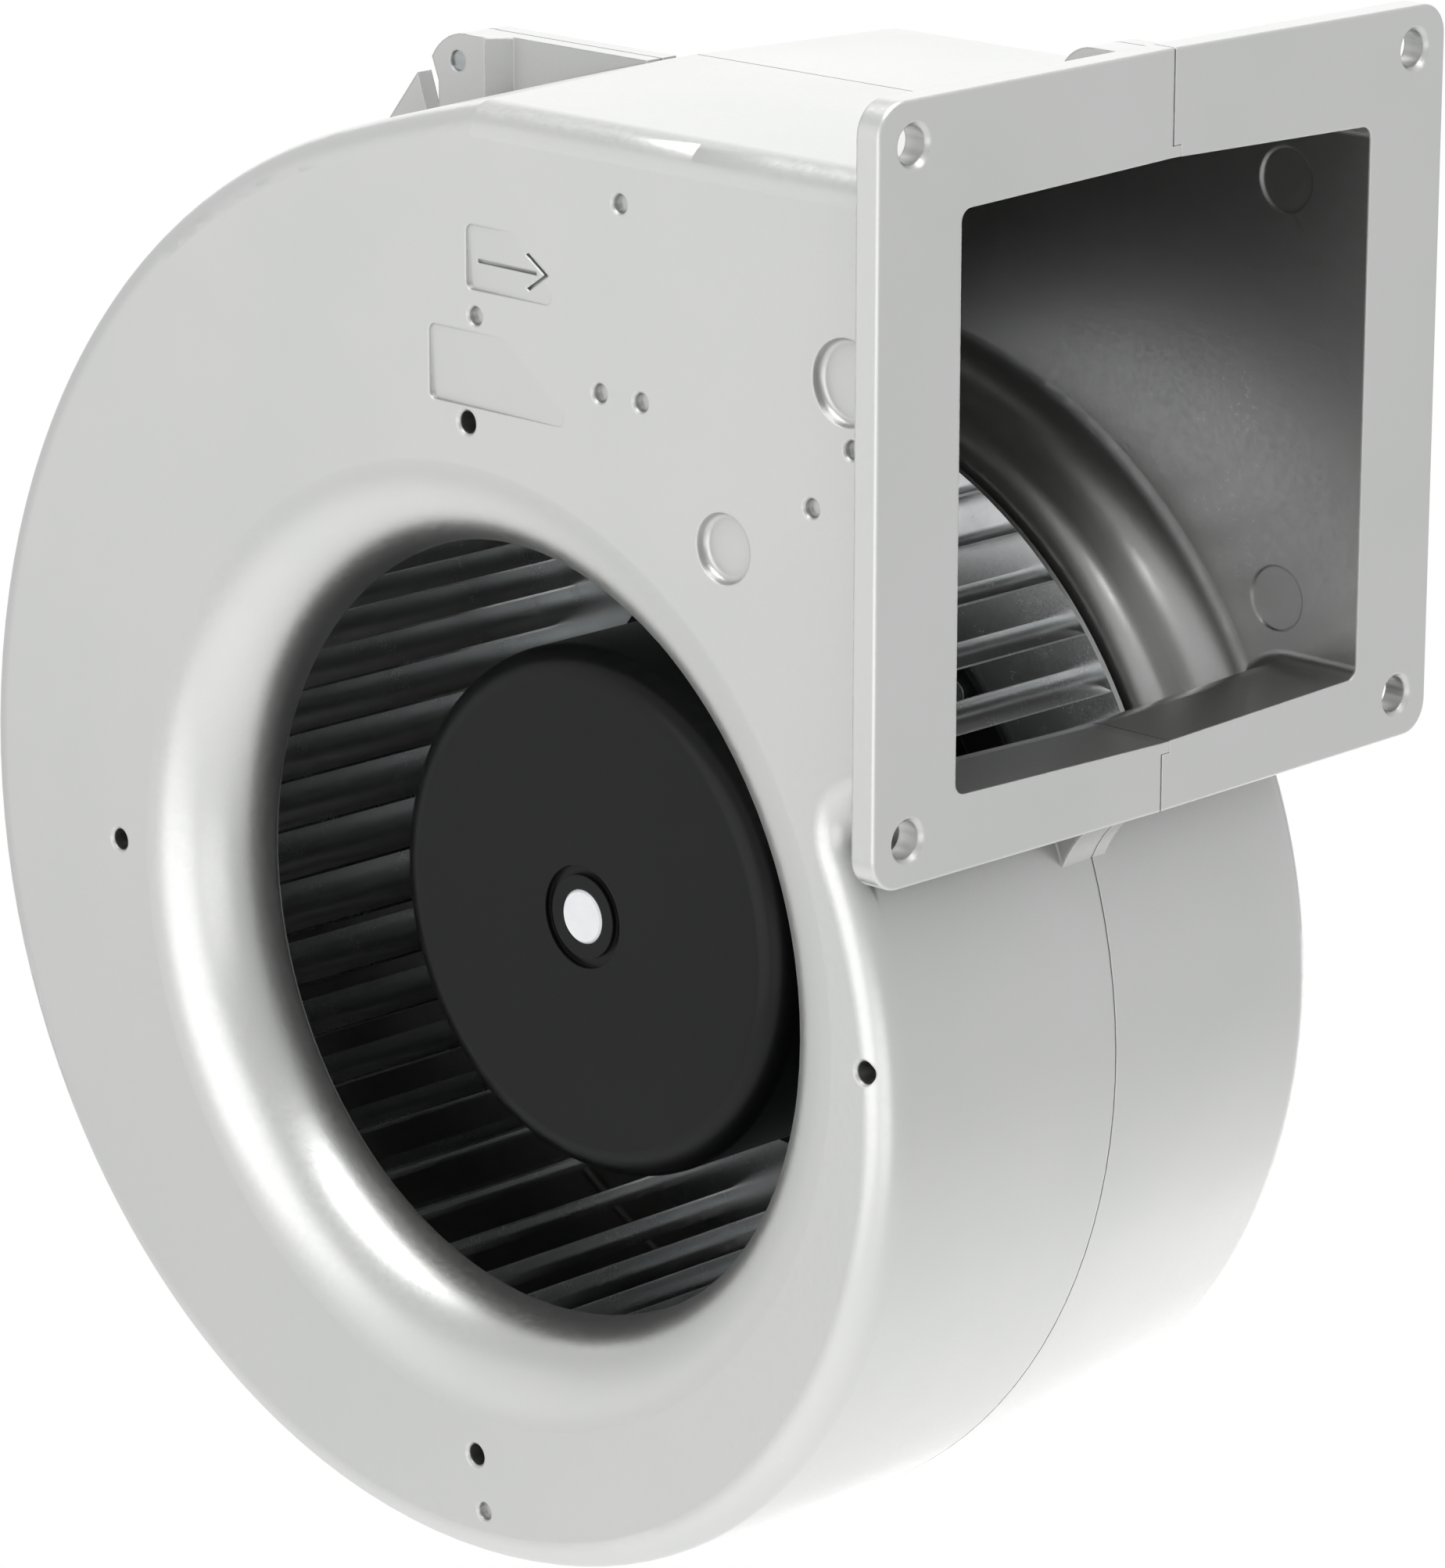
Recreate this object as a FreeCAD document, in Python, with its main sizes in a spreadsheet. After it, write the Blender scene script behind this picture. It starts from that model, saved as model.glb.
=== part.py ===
import FreeCAD, Part
import math
import os
import Sketcher
from FreeCAD import Placement, Rotation, Vector

# Centrifugal fan with a two-part cast scroll housing and an external-rotor motor.
# The rotation axis is Y: the inlet face is the plane y = 0, +Y points to the motor,
# +X points out of the outlet flange and +Z is up. Lengths are in millimetres.
# Cutting tools reach past the faces they cut; the small whole numbers added to them do that.

doc = FreeCAD.newDocument("CentrifugalFan")
sheet = doc.addObject("Spreadsheet::Sheet", "Sizes")


class Length(float):
    """A number that also carries the sheet formula it comes from."""

    def __new__(cls, value, formula):
        number = float.__new__(cls, value)
        number.formula = formula
        return number

    def __add__(self, other):
        return Length(float(self) + float(other), f"({self.formula} + {formula(other)})")

    def __radd__(self, other):
        return Length(float(other) + float(self), f"({formula(other)} + {self.formula})")

    def __sub__(self, other):
        return Length(float(self) - float(other), f"({self.formula} - {formula(other)})")

    def __rsub__(self, other):
        return Length(float(other) - float(self), f"({formula(other)} - {self.formula})")

    def __mul__(self, other):
        return Length(float(self) * float(other), f"({self.formula} * {formula(other)})")

    def __rmul__(self, other):
        return Length(float(other) * float(self), f"({formula(other)} * {self.formula})")

    def __truediv__(self, other):
        return Length(float(self) / float(other), f"({self.formula} / {formula(other)})")

    def __neg__(self):
        return Length(-float(self), f"(-1 * {self.formula})")


def formula(value):
    return value.formula if isinstance(value, Length) else repr(float(value))


def size(name, value):
    """Write one driving size to the sheet and return it with its name as formula."""
    row = size.row = getattr(size, "row", 0) + 1
    sheet.set(f"A{row}", name)
    sheet.set(f"B{row}", str(value))
    sheet.setAlias(f"B{row}", name)
    return Length(value, f"Sizes.{name}")


# Scroll outline at the parting plane: four tangent arcs that widen from the right round to the duct.
# The first keeps its clearance from the wheel's rim; each step widens the next radius.
rim_radius = size("rim_radius", 90.4)
scroll_clearance = size("scroll_clearance", 20.8)
scroll_centre_x = size("scroll_centre_x", -4.06)
scroll_centre_z = size("scroll_centre_z", -10.87)
scroll_step_bottom = size("scroll_step_bottom", 20.5)
scroll_step_left = size("scroll_step_left", 14.0)
scroll_step_top = size("scroll_step_top", 334.3)
joint_angle_bottom = 285.5
joint_angle_left = 185.6
joint_angle_top = 107.9
crease_x = size("crease_x", 0.8)
duct_under = size("duct_under", 47.5)
neck_radius = size("neck_radius", 6.0)


def scroll_arcs():
    """Centre and radius of the arcs, and the angle at which each begins, from the crease onwards."""
    centre = Vector(float(scroll_centre_x), float(scroll_centre_z), 0)
    radius = float(rim_radius + scroll_clearance)
    arcs = []
    for angle, step in ((joint_angle_bottom, scroll_step_bottom), (joint_angle_left, scroll_step_left),
                        (joint_angle_top, scroll_step_top)):
        arcs.insert(0, (centre, radius, math.radians(angle)))
        toward_joint = Vector(math.cos(math.radians(angle)), math.sin(math.radians(angle)), 0)
        centre = centre - toward_joint * float(step)
        radius += float(step)
    crease_height = math.sqrt(radius ** 2 - (float(crease_x) - centre.x) ** 2)
    arcs.insert(0, (centre, radius, math.atan2(crease_height, float(crease_x) - centre.x)))
    return arcs


def arc_height(arc, x):
    """Height of the top of an arc's circle over one x."""
    centre, radius, _ = arc
    return centre.y + math.sqrt(radius ** 2 - (float(x) - centre.x) ** 2)


duct_top = size("duct_top", arc_height(scroll_arcs()[0], crease_x))

# Housing shell
half_depth = size("half_depth", 58.5)
depth = half_depth * 2
wall = size("wall", 3.8)
face_wall = size("face_wall", 4.6)
draft_angle = size("draft_angle", 1.6)
face_fillet = size("face_fillet", 6.0)
inner_fillet = size("inner_fillet", 2.3)
tongue_width = size("tongue_width", 2.0)
tongue_length = size("tongue_length", 2.1)
tongue_gap = size("tongue_gap", 0.1)
parting_gap = size("parting_gap", 0.3)

# Outlet flange
flange_face = size("flange_face", 116.5)
flange_thickness = size("flange_thickness", 5.1)
flange_width = size("flange_width", 148.5)
flange_back = flange_face - flange_thickness
flange_rim_top = size("flange_rim_top", 15.4)
flange_rim_bottom = size("flange_rim_bottom", 8.9)
flange_drop = size("flange_drop", 0.5)
flange_bottom = duct_under - flange_rim_bottom
flange_top = duct_top + flange_rim_top
flange_corner = size("flange_corner", 6.0)
flange_edge = size("flange_edge", 0.5)
flange_hole_radius = size("flange_hole_radius", 3.3)
flange_hole_chamfer = size("flange_hole_chamfer", 0.8)
flange_hole_inset = size("flange_hole_inset", 8.5)
flange_hole_width = flange_width - flange_hole_inset * 2
flange_hole_height = size("flange_hole_height", 120.0)
flange_hole_drop = size("flange_hole_drop", 8.7)

# Inlet face: bell mouth, guard holes, marks
throat_radius = size("throat_radius", 74.2)
mouth_radius = size("mouth_radius", 17.8)
mouth_wall = size("mouth_wall", 3.4)
throat_lip = size("throat_lip", 0.6)
guard_circle_radius = size("guard_circle_radius", 100.0)
guard_hole_radius = size("guard_hole_radius", 2.1)
guard_hole_chamfer = size("guard_hole_chamfer", 0.5)
guard_boss_radius = size("guard_boss_radius", 4.6)
guard_hole_depth = size("guard_hole_depth", 10.0)
guard_boss_floor = size("guard_boss_floor", 2.0)
dimple_radius = size("dimple_radius", 1.65)
dimple_depth = size("dimple_depth", 1.4)
dimple_chamfer = size("dimple_chamfer", 0.4)
low_dimple_x = size("low_dimple_x", 2.3)
low_dimple_z = size("low_dimple_z", -110.8)
high_dimple_x = size("high_dimple_x", 39.5)
high_dimple_z = size("high_dimple_z", 145.7)
arrow_dimple_x = size("arrow_dimple_x", 2.4)
arrow_dimple_z = size("arrow_dimple_z", 120.0)
pair_dimple_x = size("pair_dimple_x", 34.4)
pair_dimple_z = size("pair_dimple_z", 110.9)
pair_dimple_pitch = size("pair_dimple_pitch", 10.3)
duct_dimple_low_x = size("duct_dimple_low_x", 86.4)
duct_dimple_low_z = size("duct_dimple_low_z", 99.0)
duct_dimple_high_x = size("duct_dimple_high_x", 95.8)
duct_dimple_high_z = size("duct_dimple_high_z", 110.8)
mark_depth = size("mark_depth", 1.8)
mark_round = size("mark_round", 1.2)
low_mark_radius = size("low_mark_radius", 6.4)
low_mark_x = size("low_mark_x", 65.2)
low_mark_z = size("low_mark_z", 88.1)
high_mark_radius = size("high_mark_radius", 7.75)
high_mark_x = size("high_mark_x", 94.4)
high_mark_z = size("high_mark_z", 122.4)

# Sloped pockets in the inlet face: one with the arrow, one plain
pad_depth = size("pad_depth", 0.7)
pad_corner = size("pad_corner", 1.5)
arrow_pad_x = size("arrow_pad_x", 0.3)
arrow_pad_z = size("arrow_pad_z", 124.8)
arrow_pad_width = size("arrow_pad_width", 22.0)
arrow_pad_height = size("arrow_pad_height", 12.0)
plain_pad_x = size("plain_pad_x", -9.7)
plain_pad_z = size("plain_pad_z", 103.1)
plain_pad_width = size("plain_pad_width", 35.0)
plain_pad_height = size("plain_pad_height", 14.0)
arrow_line = size("arrow_line", 0.7)
arrow_level = size("arrow_level", 130.2)
arrow_tail = size("arrow_tail", 2.9)
arrow_tip = size("arrow_tip", 21.3)
arrow_head_length = size("arrow_head_length", 5.5)
arrow_head_half = size("arrow_head_half", 3.1)
arrow_depth = size("arrow_depth", 1.0)

# Motor side dish round the impeller and the recess behind it
dish_margin = size("dish_margin", 4.6)
dish_radius = rim_radius + dish_margin
dish_blend = size("dish_blend", 9.5)
dish_depth = size("dish_depth", 19.2)
dish_slope = size("dish_slope", 3.0)
dish_fillet = size("dish_fillet", 6.0)
dish_recess_fillet = size("dish_recess_fillet", 2.2)

# Two round marks inside the motor half's duct wall
wall_mark_radius = size("wall_mark_radius", 6.1)
wall_mark_depth = size("wall_mark_depth", 0.5)
wall_mark_x = size("wall_mark_x", 97.3)
wall_mark_low_z = size("wall_mark_low_z", 64.3)
wall_mark_high_z = size("wall_mark_high_z", 142.5)
motor_hole_radius = size("motor_hole_radius", 42.0)

# Joint lugs and their screws
lug_front = size("lug_front", 7.8)
lug_rear = size("lug_rear", 3.8)
lug_radius = size("lug_radius", 7.2)
screw_radius = size("screw_radius", 2.0)
screw_head_radius = size("screw_head_radius", 4.0)
screw_head_height = size("screw_head_height", 2.6)
screw_recess = size("screw_recess", 0.6)
drive_reach = size("drive_reach", 3.0)
drive_depth = size("drive_depth", 1.0)
drive_width = size("drive_width", 1.0)
hole_play = size("hole_play", 0.2)
seat_play = size("seat_play", 0.03)
high_lug_inset = size("high_lug_inset", 7.2)
high_lug_rise = size("high_lug_rise", 7.2)
high_lug_x = flange_back - high_lug_inset
high_lug_z = duct_top + high_lug_rise
hidden_lug_angles = (198.0, 252.0)
hidden_lug_reach = size("hidden_lug_reach", 6.0)

# Lug below the duct, with a hanging lip that curves up to the flange;
# insets are from the flange's back, drops from the duct's underside
low_lug_inset = size("low_lug_inset", 6.9)
low_lug_drop = size("low_lug_drop", 7.0)
low_lug_length = size("low_lug_length", 15.4)
lip_back_inset = size("lip_back_inset", 14.4)
lip_back_drop = size("lip_back_drop", 17.5)
lip_tip_inset = size("lip_tip_inset", 12.4)
lip_tip_drop = size("lip_tip_drop", 25.5)
lip_bend_inset = size("lip_bend_inset", 8.8)
lip_bend_drop = size("lip_bend_drop", 16.9)
low_lug_x = flange_back - low_lug_inset
low_lug_z = duct_under - low_lug_drop

# Ear at the top left, standing on the scroll, and its web, measured from the ear's screw axis
ear_x = size("ear_x", -55.6)
ear_stand = size("ear_stand", 10.0)
ear_z = size("ear_z", arc_height(scroll_arcs()[1], ear_x) + ear_stand)
ear_rise = size("ear_rise", 5.3)
ear_flat = size("ear_flat", 3.5)
ear_round_x = size("ear_round_x", 3.4)
ear_round_z = size("ear_round_z", 3.9)
ear_waist = size("ear_waist", 5.4)
ear_waist_drop = size("ear_waist_drop", 4.5)
ear_foot = size("ear_foot", 12.0)
ear_inner = size("ear_inner", 7.5)
ear_inner_foot = size("ear_inner_foot", 8.0)
ear_web_length = size("ear_web_length", 47.0)
ear_web_foot = size("ear_web_foot", 9.0)
ear_web_end_foot = size("ear_web_end_foot", 3.0)
gusset_left = size("gusset_left", 88.0)
gusset_right = size("gusset_right", 70.0)
gusset_drop = size("gusset_drop", 21.0)
gusset_tip_x = size("gusset_tip_x", 75.5)
gusset_tip_drop = size("gusset_tip_drop", 5.7)

# Impeller; insets along the axis are from the motor side of the housing
blade_count = 48
blade_margin = size("blade_margin", 0.4)
blade_width = size("blade_width", 11.6)
blade_outer_radius = rim_radius - blade_margin
blade_inner_radius = blade_outer_radius - blade_width
blade_lean = size("blade_lean", 5.2)
blade_bow = size("blade_bow", 2.5)
blade_thickness = size("blade_thickness", 0.6)
blade_start_angle = size("blade_start_angle", 141.6)
ring_front = size("ring_front", 20.0)
ring_thickness = size("ring_thickness", 1.2)
ring_width = size("ring_width", 8.4)
disc_inset = size("disc_inset", 26.8)
disc_front = depth - disc_inset
disc_thickness = size("disc_thickness", 1.2)
disc_bore_radius = size("disc_bore_radius", 47.0)
rivet_count = 8
rivet_circle_radius = size("rivet_circle_radius", 56.0)
rivet_radius = size("rivet_radius", 1.5)
rivet_head_radius = size("rivet_head_radius", 2.8)
rivet_head_height = size("rivet_head_height", 1.0)

# External rotor
cup_inset = size("cup_inset", 88.3)
cup_face = depth - cup_inset
cup_radius = size("cup_radius", 51.3)
cup_wall = size("cup_wall", 2.5)
cup_fillet = size("cup_fillet", 6.0)
cup_flange_radius = size("cup_flange_radius", 61.0)
cup_flange_thickness = size("cup_flange_thickness", 1.5)
groove_inner_radius = size("groove_inner_radius", 8.1)
groove_outer_radius = size("groove_outer_radius", 10.0)
groove_depth = size("groove_depth", 1.2)
hub_radius = size("hub_radius", 13.0)
hub_length = size("hub_length", 6.0)
core_inset = size("core_inset", 72.0)
core_front = depth - core_inset
core_length = size("core_length", 32.0)
core_inner_radius = size("core_inner_radius", 44.0)
end_ring_length = size("end_ring_length", 3.0)
shaft_radius = size("shaft_radius", 5.0)
shaft_head_radius = size("shaft_head_radius", 5.3)
shaft_head_length = size("shaft_head_length", 7.0)
shaft_proud = size("shaft_proud", 0.2)
shaft_chamfer = size("shaft_chamfer", 0.5)
shaft_inset = size("shaft_inset", 22.0)
shaft_end = depth - shaft_inset

# Stator, carried on the bearing tube of the motor flange
air_gap = size("air_gap", 0.5)
tube_radius = size("tube_radius", 19.0)
tube_inset = size("tube_inset", 79.0)
tube_front = depth - tube_inset
slot_count = 12
slot_width = size("slot_width", 6.0)
slot_mouth = size("slot_mouth", 2.4)
slot_inner_radius = size("slot_inner_radius", 27.0)
slot_outer_radius = size("slot_outer_radius", 40.0)
slot_play = size("slot_play", 0.3)
winding_overhang = size("winding_overhang", 8.0)
collar_thickness = size("collar_thickness", 1.0)
winding_outer_radius = size("winding_outer_radius", 41.0)
flange_disc_radius = size("flange_disc_radius", 60.0)
flange_disc_thickness = size("flange_disc_thickness", 6.0)
spigot_length = size("spigot_length", 7.0)
cover_thickness = size("cover_thickness", 3.0)
motor_screw_circle_radius = size("motor_screw_circle_radius", 52.0)
motor_screw_radius = size("motor_screw_radius", 2.5)
motor_screw_head = size("motor_screw_head", 4.25)
motor_screw_head_height = size("motor_screw_head_height", 3.2)
motor_socket_radius = size("motor_socket_radius", 2.0)
motor_socket_depth = size("motor_socket_depth", 2.0)
washer_radius = size("washer_radius", 5.2)
washer_thickness = size("washer_thickness", 1.0)
grommet_circle_radius = size("grommet_circle_radius", 31.0)
grommet_radius = size("grommet_radius", 5.0)
grommet_lip = size("grommet_lip", 1.8)
grommet_bore = size("grommet_bore", 2.6)

# Ball bearings
bearing_outer_radius = size("bearing_outer_radius", 13.0)
race_length = size("race_length", 8.0)
race_thickness = size("race_thickness", 2.4)
shield_thickness = size("shield_thickness", 0.5)
shield_play = size("shield_play", 0.15)
front_bearing_inset = size("front_bearing_inset", 77.0)
front_bearing = depth - front_bearing_inset
rear_bearing_inset = size("rear_bearing_inset", 33.0)
rear_bearing = depth - rear_bearing_inset
spring_thickness = size("spring_thickness", 0.5)
clip_groove_radius = size("clip_groove_radius", 4.4)
clip_radius = size("clip_radius", 7.0)
clip_thickness = size("clip_thickness", 0.9)
clip_groove_width = size("clip_groove_width", 1.1)
clip_opening = size("clip_opening", 4.0)

nodes = []


def put(target, prop, value):
    """Set a property, bound to the sheet where the value carries a formula."""
    if isinstance(value, Length):
        target.setExpression(prop, value.formula)
    else:
        setattr(target, prop, value)


def node(target, label):
    target.Label = label
    nodes.append(target)
    return target


def settle(solid, x, y, z, turn):
    """Place a solid, bound to the sheet where a coordinate carries a formula."""
    solid.Placement = Placement(Vector(float(x), float(y), float(z)), turn)
    for axis, value in zip("xyz", (x, y, z)):
        if isinstance(value, Length):
            solid.setExpression(f"Placement.Base.{axis}", value.formula)
    return solid


ALONG_X = Rotation(Vector(0, 1, 0), 90)
ALONG_Y = Rotation(Vector(1, 0, 0), -90)
UPRIGHT = Rotation()


def cylinder(name, radius, start, end, x=0.0, z=0.0):
    """A cylinder along Y from start to end, its axis through x, z."""
    solid = doc.addObject("Part::Cylinder", name)
    put(solid, "Radius", radius)
    put(solid, "Height", end - start)
    return settle(solid, x, start, z, ALONG_Y)


def cone(name, radius_start, radius_end, start, end, x=0.0, z=0.0):
    """A cone along Y from start to end, its axis through x, z."""
    solid = doc.addObject("Part::Cone", name)
    put(solid, "Radius1", radius_start)
    put(solid, "Radius2", radius_end)
    put(solid, "Height", end - start)
    return settle(solid, x, start, z, ALONG_Y)


def box(name, low, high):
    """A box between two corners."""
    solid = doc.addObject("Part::Box", name)
    for prop, a, b in zip(("Length", "Width", "Height"), low, high):
        put(solid, prop, b - a)
    return settle(solid, *low, UPRIGHT)


def cut(name, base, tool):
    result = doc.addObject("Part::Cut", name)
    result.Base = base
    result.Tool = tool
    return result


def fuse(name, *shapes):
    result = doc.addObject("Part::MultiFuse", name)
    result.Shapes = list(shapes)
    return result


def common(name, base, tool):
    result = doc.addObject("Part::Common", name)
    result.Base = base
    result.Tool = tool
    return result


def tube(name, outer, inner, start, end, x=0.0, z=0.0):
    return cut(name, cylinder(name + "Outer", outer, start, end, x, z),
               cylinder(name + "Bore", inner, start - 1, end + 1, x, z))


def around(name, base, count, first=0.0):
    """Copies of a shape spread evenly about the rotation axis, as one compound."""
    doc.recompute()
    copies = doc.addObject("Part::Feature", name)
    turned = []
    for index in range(count):
        copy = base.Shape.copy()
        copy.rotate(Vector(0, 0, 0), Vector(0, 1, 0), first + index * 360 / count)
        turned.append(copy)
    copies.Shape = Part.makeCompound(turned)
    return copies


def lathe(name, points):
    """A PartDesign body turned about Y from a closed profile of radius, y points."""
    body = doc.addObject("PartDesign::Body", name)
    sketch = body.newObject("Sketcher::SketchObject", name + "Profile")
    plane = [f for f in body.Origin.OriginFeatures if f.Role == "XY_Plane"][0]
    sketch.AttachmentSupport = [(plane, "")]
    sketch.MapMode = "FlatFace"
    count = len(points)
    for index, (radius, depth) in enumerate(points):
        after = points[(index + 1) % count]
        sketch.addGeometry(Part.LineSegment(Vector(float(radius), float(depth), 0),
                                            Vector(float(after[0]), float(after[1]), 0)), False)
    for index in range(count):
        sketch.addConstraint(Sketcher.Constraint("Coincident", index, 2, (index + 1) % count, 1))
    for index, (radius, depth) in enumerate(points):
        if float(radius) == 0.0:
            sketch.addConstraint(Sketcher.Constraint("PointOnObject", index, 1, -2))
        else:
            place = sketch.addConstraint(Sketcher.Constraint("DistanceX", -1, 1, index, 1, float(radius)))
            if isinstance(radius, Length):
                sketch.setExpression(f"Constraints[{place}]", radius.formula)
        place = sketch.addConstraint(Sketcher.Constraint("DistanceY", -1, 1, index, 1, float(depth)))
        if isinstance(depth, Length):
            sketch.setExpression(f"Constraints[{place}]", depth.formula)
    turn = body.newObject("PartDesign::Revolution", name + "Turn")
    turn.Profile = sketch
    turn.ReferenceAxis = (sketch, ["V_Axis"])
    turn.Angle = 360.0
    body.Tip = turn
    return body


def slab(name, edges, start, length, taper=0.0):
    """An outline in X and Z, extruded along -Y (length above 0) or +Y (length below 0)."""
    sketch = doc.addObject("Sketcher::SketchObject", name + "Outline")
    for edge in edges:
        sketch.addGeometry(edge, False)
    sketch.Placement = Placement(Vector(0, float(start), 0), Rotation(Vector(1, 0, 0), 90))
    if isinstance(start, Length):
        sketch.setExpression("Placement.Base.y", start.formula)
    solid = doc.addObject("Part::Extrusion", name)
    solid.Base = sketch
    solid.DirMode = "Normal"
    solid.Solid = True
    solid.Reversed = float(length) < 0
    put(solid, "LengthFwd", length if float(length) > 0 else -length)
    put(solid, "TaperAngle", taper)
    return solid


def polygon(points):
    corners = [Vector(float(x), float(z), 0) for x, z in points]
    return [Part.LineSegment(a, b) for a, b in zip(corners, corners[1:] + corners[:1])]


def fillet(name, base, radius, wanted):
    """Round the edges of a shape for which wanted(edge) holds."""
    doc.recompute()
    result = doc.addObject("Part::Fillet", name)
    result.Base = base
    result.Edges = [(index + 1, float(radius), float(radius))
                    for index, edge in enumerate(base.Shape.Edges) if wanted(edge)]
    return result


def in_plane(edge, axis, value, tolerance=0.01):
    low = getattr(edge.BoundBox, axis + "Min")
    high = getattr(edge.BoundBox, axis + "Max")
    return abs(low - float(value)) < tolerance and abs(high - float(value)) < tolerance


# Scroll outline

def scroll_outline(offset, end_x):
    """Scroll and duct as one closed outline, moved outwards by offset."""
    offset = float(offset)
    arcs = scroll_arcs()
    normal = Vector(0, 0, 1)
    top = float(duct_top) + offset
    under = float(duct_under) - offset
    first_centre, first_radius, _ = arcs[0]
    start_x = first_centre.x - math.sqrt((first_radius + offset) ** 2 - (top - first_centre.y) ** 2)
    last_centre, last_radius, _ = arcs[3]
    neck_z = float(duct_under) - float(neck_radius)
    neck_reach = last_radius + float(neck_radius)
    neck_x = last_centre.x + math.sqrt(neck_reach ** 2 - (neck_z - last_centre.y) ** 2)
    last_angle = math.atan2(neck_z - last_centre.y, neck_x - last_centre.x)
    bounds = [math.atan2(top - first_centre.y, start_x - first_centre.x)]
    bounds += [first for _, _, first in arcs[1:]]
    bounds.append(last_angle + 2 * math.pi)
    edges = [Part.Arc(Part.Circle(centre, normal, radius + offset), low, high)
             for (centre, radius, _), low, high in zip(arcs, bounds, bounds[1:])]
    neck = Vector(neck_x, neck_z, 0)
    edges.append(Part.Arc(Part.Circle(neck, normal, float(neck_radius) - offset),
                          math.pi / 2, last_angle + math.pi))
    edges.append(Part.LineSegment(Vector(neck_x, under, 0), Vector(float(end_x), under, 0)))
    edges.append(Part.LineSegment(Vector(float(end_x), under, 0), Vector(float(end_x), top, 0)))
    edges.append(Part.LineSegment(Vector(float(end_x), top, 0), Vector(start_x, top, 0)))
    return edges


def half_name(side):
    """Side -1 is the inlet half, +1 the motor half."""
    return "Inlet" if side < 0 else "Motor"


def flange_plate(side):
    """Half of the outlet flange, its edges against the duct opening rounded."""
    low = float(flange_bottom)
    high = float(flange_top)
    drop = float(flange_drop)
    corner = float(flange_corner)
    parting = float(half_depth + side * parting_gap / 2)
    end = float(half_depth + side * flange_width / 2)
    inner = end - side * corner
    bottom_joint, bottom_end = Vector(parting, low, 0), Vector(inner, low + drop, 0)
    side_low, side_high = Vector(end, low + drop + corner, 0), Vector(end, high - drop - corner, 0)
    top_end, top_joint = Vector(inner, high - drop, 0), Vector(parting, high, 0)
    turn = corner * (1 - math.sqrt(0.5))
    lower = Part.Arc(bottom_end, Vector(end - side * turn, low + drop + turn, 0), side_low)
    upper = Part.Arc(side_high, Vector(end - side * turn, high - drop - turn, 0), top_end)
    sketch = doc.addObject("Sketcher::SketchObject", "FlangeOutline" + half_name(side))
    for edge in (Part.LineSegment(bottom_joint, bottom_end), lower, Part.LineSegment(side_low, side_high),
                 upper, Part.LineSegment(top_end, top_joint), Part.LineSegment(top_joint, bottom_joint)):
        sketch.addGeometry(edge, False)
    settle(sketch, flange_back, 0.0, 0.0, Rotation(0.5, 0.5, 0.5, 0.5))
    plate = doc.addObject("Part::Extrusion", "FlangePlate" + half_name(side))
    plate.Base = sketch
    plate.DirMode = "Normal"
    plate.Solid = True
    put(plate, "LengthFwd", flange_thickness)
    return fillet("FlangeRounded" + half_name(side), plate, flange_edge,
                  lambda edge: in_plane(edge, "X", flange_face)
                  and not in_plane(edge, "Y", half_depth + side * parting_gap / 2))


def flange_holes(side):
    """The two flange holes of one half, each with its chamfer."""
    tools = []
    y = half_depth + side * flange_hole_width / 2
    for level in (0, 1):
        z = flange_bottom + flange_hole_drop + level * flange_hole_height
        name = f"FlangeHole{half_name(side)}{'High' if level else 'Low'}"
        hole = doc.addObject("Part::Cylinder", name)
        put(hole, "Radius", flange_hole_radius)
        put(hole, "Height", flange_thickness + 2)
        mouth = doc.addObject("Part::Cone", name + "Mouth")
        put(mouth, "Radius1", flange_hole_radius)
        put(mouth, "Radius2", flange_hole_radius + flange_hole_chamfer)
        put(mouth, "Height", flange_hole_chamfer)
        settle(hole, flange_back - 1, y, z, ALONG_X)
        settle(mouth, flange_face - flange_hole_chamfer, y, z, ALONG_X)
        tools += [hole, mouth]
    return tools


def scroll_radius_at(angle):
    """Distance from the rotation axis to the outline at an angle from +X, in degrees."""
    far_x, far_z = on_ray(angle, float(duct_top) * 2)
    ray = Part.LineSegment(Vector(0, 0, 0), Vector(far_x, far_z, 0))
    crossings = []
    for edge in scroll_outline(0, flange_face):
        crossings += [math.hypot(p.X, p.Y) for p in ray.intersect(edge)]
    return min(crossings)


def on_ray(angle, radius):
    return radius * math.cos(math.radians(angle)), radius * math.sin(math.radians(angle))


def lug_places():
    """Screw axes of the five lugs."""
    places = [(ear_x, ear_z), (high_lug_x, high_lug_z), (low_lug_x, low_lug_z)]
    for angle in hidden_lug_angles:
        places.append(on_ray(angle, scroll_radius_at(angle) + float(hidden_lug_reach)))
    return places


def spot(x, z):
    return Vector(float(x), float(z), 0)


def ear_outline():
    """Ear with a flat top, a round shoulder and a waist under its tip."""
    top = ear_z + ear_rise
    shoulder, tip = spot(ear_x + ear_flat, top), spot(ear_x - lug_radius, ear_z)
    rounded = Part.Arc(shoulder, spot(ear_x - ear_round_x, ear_z + ear_round_z), tip)
    corners = [tip, spot(ear_x - ear_waist, ear_z - ear_waist_drop),
               spot(ear_x - ear_waist, ear_z - ear_foot), spot(ear_x + ear_inner, ear_z - ear_inner_foot),
               spot(ear_x + ear_inner, top), shoulder]
    return [rounded] + [Part.LineSegment(a, b) for a, b in zip(corners, corners[1:])]


def ear_web_outline():
    """Web that ties the ear to the top of the duct."""
    top = ear_z + ear_rise
    start, end = ear_x + ear_inner - 0.5, ear_x + ear_web_length
    return polygon([(start, top), (end, top), (end, ear_z - ear_web_end_foot), (start, ear_z - ear_web_foot)])


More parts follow.
